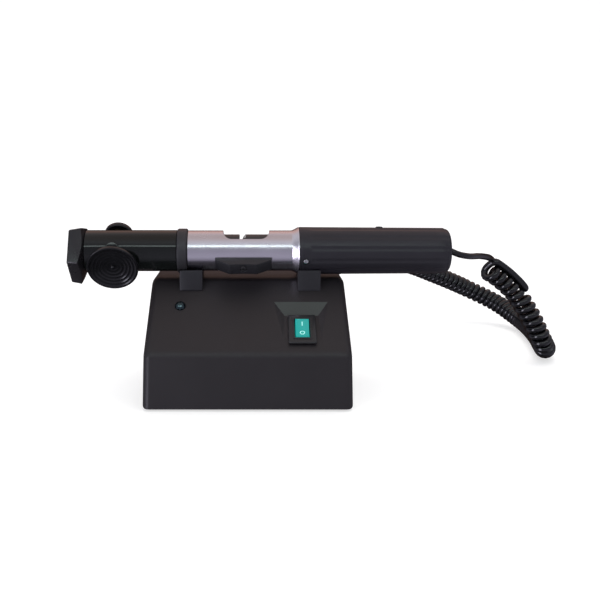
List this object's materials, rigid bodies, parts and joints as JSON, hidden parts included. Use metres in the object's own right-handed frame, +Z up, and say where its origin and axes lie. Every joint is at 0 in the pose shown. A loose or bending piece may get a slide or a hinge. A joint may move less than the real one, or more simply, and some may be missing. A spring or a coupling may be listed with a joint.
{
  "type": "lensmeter",
  "caption": "Handheld lensmeter lying in the cradles of its wedge-shaped power base: telescope with focusing knobs, lens window with sprung clamp, handle, rocker switch and coiled cord.",
  "frame": {"origin": "on the table plane, under the middle of the telescope's length and of the base's depth", "axes": "+X along the telescope from the eyepiece to the handle, +Y to the back of the base, +Z up"},
  "size_m": [0.3124, 0.2416, 0.0958],
  "materials": {
    "base_plastic": "moulded, satin",
    "cradle_plastic": "moulded, satin",
    "tube_black": "black, high gloss",
    "eyecup_black": "satin gloss",
    "handle_black": "satin, shallow lengthwise flutes",
    "ring_black": "fine knurl",
    "knob_black": "gloss, stepped rings",
    "inner_black": "semi gloss",
    "aluminium": "bright turned",
    "screw_steel": "bright",
    "spring_steel": "drawn wire",
    "brass": "turned",
    "lens_glass": "polished",
    "jewel": "clear, faceted",
    "rubber": "matte",
    "cord_black": "gloss",
    "switch_black": "moulded",
    "rocker_green": "translucent, glossy",
    "lamination": "stacked laminations",
    "winding": "tape over wire",
    "slide_black": "satin"
  },
  "bodies": {
    "base": {"base_housing": "base_plastic", "base_plate": "base_plastic", "foot_front_left": "rubber", "foot_front_right": "rubber", "foot_back_left": "rubber", "foot_back_right": "rubber", "plate_screw_front_left": "screw_steel", "plate_screw_front_right": "screw_steel", "plate_screw_back_left": "screw_steel", "plate_screw_back_right": "screw_steel", "cradle_left": "cradle_plastic", "cradle_right": "cradle_plastic", "cradle_screw_left": "screw_steel", "cradle_screw_right": "screw_steel", "transformer_core": "lamination", "transformer_winding": "winding", "switch_body": "switch_black", "indicator_lens": "jewel", "indicator_holder": "switch_black", "indicator_lamp": "lens_glass", "mains_inlet": "switch_black", "cord_gland": "rubber", "cord_coil": "cord_black", "cord_tail": "cord_black"},
    "rocker": {"switch_rocker": "rocker_green"},
    "instrument": {"telescope_tube": "tube_black", "neck_tube": "aluminium", "handle_shell": "handle_black", "handle_screw_front": "screw_steel", "handle_screw_rear": "screw_steel", "lamp_screw": "handle_black", "lens_stop": "inner_black", "objective_lens": "lens_glass", "collimator_lens": "lens_glass", "collimator_cell": "inner_black", "target_disc": "lens_glass", "lamp_holder": "inner_black", "lamp_bulb": "lens_glass", "front_bush": "brass", "rear_bush": "brass", "cord_grommet": "rubber", "cord_lead": "cord_black", "clamp_spring": "spring_steel"},
    "eyepiece": {"eyecup": "eyecup_black", "eyepiece_barrel": "inner_black", "eye_lens": "lens_glass", "eye_lens_ring": "brass", "reticle": "lens_glass"},
    "focus_knob": {"front_knob": "knob_black", "front_pinion": "brass"},
    "rear_focus_knob": {"rear_knob": "knob_black", "rear_pinion": "brass"},
    "carriage": {"focus_carriage": "aluminium", "focus_lens": "lens_glass"},
    "ring": {"axis_ring": "ring_black"},
    "lens_clamp": {"thumb_slide": "slide_black", "clamp_screw": "ring_black", "clamp_key": "screw_steel", "clamp_sleeve": "inner_black", "sleeve_nose": "aluminium"}
  },
  "joints": [
    {"name": "rocker_tip", "type": "hinge", "parent": "base", "child": "rocker", "pos_m": [0.0229, -0.03611, 0.04077], "axis": [1, 0, 0], "range_deg": [-22, 0]},
    {"name": "instrument_lift", "type": "slide", "parent": "base", "child": "instrument", "axis": [0, 0, 1], "range_m": [0, 0.06]},
    {"name": "eyepiece_turn", "type": "hinge", "parent": "instrument", "child": "eyepiece", "pos_m": [-0.1, -0.005, 0.0804], "axis": [1, 0, 0], "range_deg": [-120, 120]},
    {"name": "focus_turn", "type": "hinge", "parent": "instrument", "child": "focus_knob", "pos_m": [-0.0815, -0.005, 0.0804], "axis": [0, -0.866, -0.5], "range_deg": [-100, 100]},
    {"name": "rear_focus_turn", "type": "hinge", "parent": "instrument", "child": "rear_focus_knob", "pos_m": [-0.0815, -0.005, 0.0804], "axis": [0, -0.866, -0.5], "range_deg": [-101, 101]},
    {"name": "carriage_slide", "type": "slide", "parent": "instrument", "child": "carriage", "axis": [1, 0, 0], "range_m": [-0.00445, 0.00445]},
    {"name": "axis_ring_turn", "type": "hinge", "parent": "instrument", "child": "ring", "pos_m": [-0.0434, -0.005, 0.0804], "axis": [1, 0, 0], "range_deg": [-90, 90]},
    {"name": "clamp_slide", "type": "slide", "parent": "instrument", "child": "lens_clamp", "axis": [1, 0, 0], "range_m": [0, 0.008], "stiffness_N_per_m": 200, "springref_m": -0.008, "deforming": ["clamp_spring"]}
  ],
  "couplings": [
    {"joint": "rear_focus_turn", "follows": "focus_turn", "ratio": 1},
    {"joint": "carriage_slide", "follows": "focus_turn", "m_per_rad": 0.0025}
  ]
}
